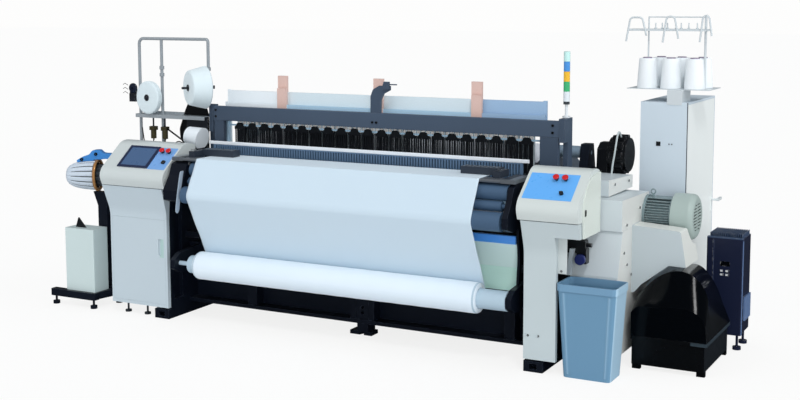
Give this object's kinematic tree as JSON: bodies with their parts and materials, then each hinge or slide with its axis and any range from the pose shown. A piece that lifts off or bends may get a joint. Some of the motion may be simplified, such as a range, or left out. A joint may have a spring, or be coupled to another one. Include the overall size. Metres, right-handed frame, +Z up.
{
  "type": "power loom",
  "caption": "Broad air-jet power loom weaving white cloth, with control consoles, yarn stands, weft feeder, drive covers, control cabinet and bin.",
  "frame": {"origin": "on the floor, under the left toe of the foot at the middle of the front beam", "axes": "+X along the loom to the drive side, +Y to the warp side, +Z up"},
  "size_m": [4.695, 1.8666, 2.074],
  "materials": {
    "frame_paint": "satin machine paint, very dark navy",
    "beam_paint": "satin slate blue-grey paint",
    "cover_paint": "satin light blue-grey paint",
    "head_paint": "satin light warm grey paint",
    "door_paint": "satin near-white paint",
    "cloth": "plain white cotton cloth, faint lavender tint",
    "warp": "white warp ends",
    "roller_steel": "turned steel, slate sheen",
    "bright_steel": "bright steel",
    "reed_steel": "flat steel dents under a white cap",
    "harness_aluminium": "pale anodised aluminium",
    "heddle_steel": "blued flat steel",
    "screen_plastic": "dark framed screen with a blue key plate",
    "blue_plate": "sky-blue key plate",
    "red_button": "red mushroom cap",
    "black_plastic": "black plastic",
    "gloss_black": "gloss black paint",
    "base_grey": "grey-green paint",
    "guard_mint": "pale mint guard with a blue strip",
    "cream_cover": "blue-grey and cream sheet covers",
    "motor_grey": "sage-grey finned casing",
    "inverter_navy": "navy casing with grey fins",
    "lamp_plastic": "stacked tinted lenses on a pale pole",
    "bin_blue": "steel-blue moulded plastic",
    "wheel_blue": "blue handwheel",
    "feeder_metal": "grey cone, brass ring and azure arm",
    "box_mint": "pale mint-grey box",
    "tube_grey": "light grey tube",
    "yarn": "white wound yarn",
    "rack_grey": "grey-green plate and tubes"
  },
  "bodies": {
    "loom": {"left_side_frame": "frame_paint", "right_side_frame": "frame_paint", "front_cross_beam": "frame_paint", "rear_cross_beam": "frame_paint", "centre_foot": "frame_paint", "top_beam": "beam_paint", "top_beam_brackets": "beam_paint", "breast_beam": "bright_steel", "cloth_sheet": "cloth", "warp_sheet": "warp", "left_cabinet": "cover_paint", "left_head": "head_paint", "left_panel": "screen_plastic", "right_leg_cover": "cover_paint", "right_head": "head_paint", "right_key_plate": "blue_plate", "inner_panel": "guard_mint", "gear_covers": "cream_cover", "belt_cover": "cream_cover", "motor": "motor_grey", "control_cabinet": "cover_paint", "drive_inverter": "inverter_navy", "shedding_unit_cover": "gloss_black", "shedding_unit_base": "base_grey", "let_off_drive": "gloss_black", "signal_tower": "lamp_plastic", "waste_bin": "bin_blue", "selvedge_unit": "black_plastic", "feeder_stand": "frame_paint", "feeder_box": "box_mint", "feeder_body": "feeder_metal", "creel_frame": "tube_grey", "creel_fittings": "black_plastic", "cone_rack": "rack_grey", "yarn_cones": "yarn"},
    "take_up": {"take_up_roller": "roller_steel"},
    "press": {"press_roller": "roller_steel"},
    "guide": {"guide_roller": "roller_steel"},
    "roll": {"cloth_roll": "cloth"},
    "back_rest": {"back_rest_roller": "roller_steel"},
    "beam": {"warp_beam": "warp"},
    "batten": {"sley": "frame_paint", "reed": "reed_steel"},
    "harness_rear": {"rear_harness": "harness_aluminium"},
    "harness_front": {"front_harness": "harness_aluminium", "front_heddles": "heddle_steel"},
    "service_door": {"left_cabinet_door": "cover_paint"},
    "cabinet_door": {"control_cabinet_door": "door_paint"},
    "door_handle": {"cabinet_door_handle": "bright_steel"},
    "button_left_one": {"left_stop_button": "red_button"},
    "button_left_two": {"left_emergency_button": "red_button"},
    "key_left": {"left_mode_key": "black_plastic"},
    "button_right_one": {"right_stop_button": "red_button"},
    "button_right_two": {"right_emergency_button": "red_button"},
    "knob_right": {"right_selector_knob": "black_plastic"},
    "release_lever": {"press_release_lever": "bright_steel"},
    "rotor": {"motor_rotor": "bright_steel"},
    "package_flat": {"flat_package": "yarn"},
    "package_thick": {"thick_package": "yarn"},
    "wheel": {"selvedge_wheel": "wheel_blue"}
  },
  "joints": [
    {"name": "take_up_spin", "type": "hinge", "parent": "loom", "child": "take_up", "pos_m": [0, -0.275, 1.043], "axis": [1, 0, 0], "continuous": true},
    {"name": "press_spin", "type": "hinge", "parent": "loom", "child": "press", "pos_m": [0, -0.311, 0.966], "axis": [1, 0, 0], "continuous": true},
    {"name": "guide_spin", "type": "hinge", "parent": "loom", "child": "guide", "pos_m": [0, -0.375, 0.885], "axis": [1, 0, 0], "continuous": true},
    {"name": "roll_spin", "type": "hinge", "parent": "loom", "child": "roll", "pos_m": [0, -0.3, 0.402], "axis": [1, 0, 0], "continuous": true},
    {"name": "back_rest_spin", "type": "hinge", "parent": "loom", "child": "back_rest", "pos_m": [0, 0.685, 1.188], "axis": [1, 0, 0], "continuous": true},
    {"name": "beam_spin", "type": "hinge", "parent": "loom", "child": "beam", "pos_m": [0, 0.875, 0.76], "axis": [1, 0, 0], "continuous": true},
    {"name": "batten_rock", "type": "hinge", "parent": "loom", "child": "batten", "pos_m": [0, 0.115, 0.7], "axis": [1, 0, 0], "range_deg": [-5, 4]},
    {"name": "rear_shed", "type": "slide", "parent": "loom", "child": "harness_rear", "axis": [0, 0, 1], "range_m": [-0.085, 0]},
    {"name": "front_shed", "type": "slide", "parent": "loom", "child": "harness_front", "axis": [0, 0, 1], "range_m": [0, 0.085]},
    {"name": "service_door_hinge", "type": "hinge", "parent": "loom", "child": "service_door", "pos_m": [-1.772, -0.315, 0.388], "axis": [0, 0, -1], "range_deg": [0, 110]},
    {"name": "cabinet_door_hinge", "type": "hinge", "parent": "loom", "child": "cabinet_door", "pos_m": [1.978, 0.6998, 0.8], "axis": [0, 0, -1], "range_deg": [0, 25]},
    {"name": "handle_turn", "type": "hinge", "parent": "cabinet_door", "child": "door_handle", "pos_m": [1.978, 1.341, 0.835], "axis": [-1, 0, 0], "range_deg": [0, 90]},
    {"name": "left_stop_press", "type": "slide", "parent": "loom", "child": "button_left_one", "axis": [0, 0.6124, -0.7906], "range_m": [0, 0.005], "stiffness_N_per_m": 600, "springref_m": -0.002},
    {"name": "left_emergency_press", "type": "slide", "parent": "loom", "child": "button_left_two", "axis": [0, 0.6124, -0.7906], "range_m": [0, 0.005], "stiffness_N_per_m": 600, "springref_m": -0.002},
    {"name": "left_key_press", "type": "slide", "parent": "loom", "child": "key_left", "axis": [0, 0.6124, -0.7906], "range_m": [0, 0.002], "stiffness_N_per_m": 600, "springref_m": -0.001},
    {"name": "right_stop_press", "type": "slide", "parent": "loom", "child": "button_right_one", "axis": [0, 0.6124, -0.7906], "range_m": [0, 0.005], "stiffness_N_per_m": 600, "springref_m": -0.002},
    {"name": "right_emergency_press", "type": "slide", "parent": "loom", "child": "button_right_two", "axis": [0, 0.6124, -0.7906], "range_m": [0, 0.005], "stiffness_N_per_m": 600, "springref_m": -0.002},
    {"name": "selector_turn", "type": "hinge", "parent": "loom", "child": "knob_right", "pos_m": [1.533, -0.32663, 1.06617], "axis": [0, -0.6124, 0.7906], "range_deg": [-60, 60]},
    {"name": "release_turn", "type": "hinge", "parent": "loom", "child": "release_lever", "pos_m": [-1.24, -0.253, 0.866], "axis": [1, 0, 0], "range_deg": [-12, 20]},
    {"name": "rotor_spin", "type": "hinge", "parent": "loom", "child": "rotor", "pos_m": [0, 0.485, 0.856], "axis": [1, 0, 0], "continuous": true},
    {"name": "flat_package_spin", "type": "hinge", "parent": "loom", "child": "package_flat", "pos_m": [-1.79, 0.109, 1.476], "axis": [0.1736, 0.9848, 0], "continuous": true},
    {"name": "thick_package_spin", "type": "hinge", "parent": "loom", "child": "package_thick", "pos_m": [-1.35, 0.021, 1.565], "axis": [0.5592, 0.829, 0], "continuous": true},
    {"name": "selvedge_wheel_spin", "type": "hinge", "parent": "loom", "child": "wheel", "pos_m": [1.59, -0.139, 0.664], "axis": [0, 1, 0], "continuous": true}
  ],
  "couplings": [
    {"joint": "press_spin", "follows": "take_up_spin", "ratio": -1.6129},
    {"joint": "guide_spin", "follows": "take_up_spin", "ratio": 0.87719},
    {"joint": "roll_spin", "follows": "take_up_spin", "ratio": -0.54054},
    {"joint": "back_rest_spin", "follows": "take_up_spin", "ratio": 1.2821},
    {"joint": "beam_spin", "follows": "take_up_spin", "ratio": 0.16667},
    {"joint": "rear_shed", "follows": "front_shed", "ratio": -1}
  ]
}
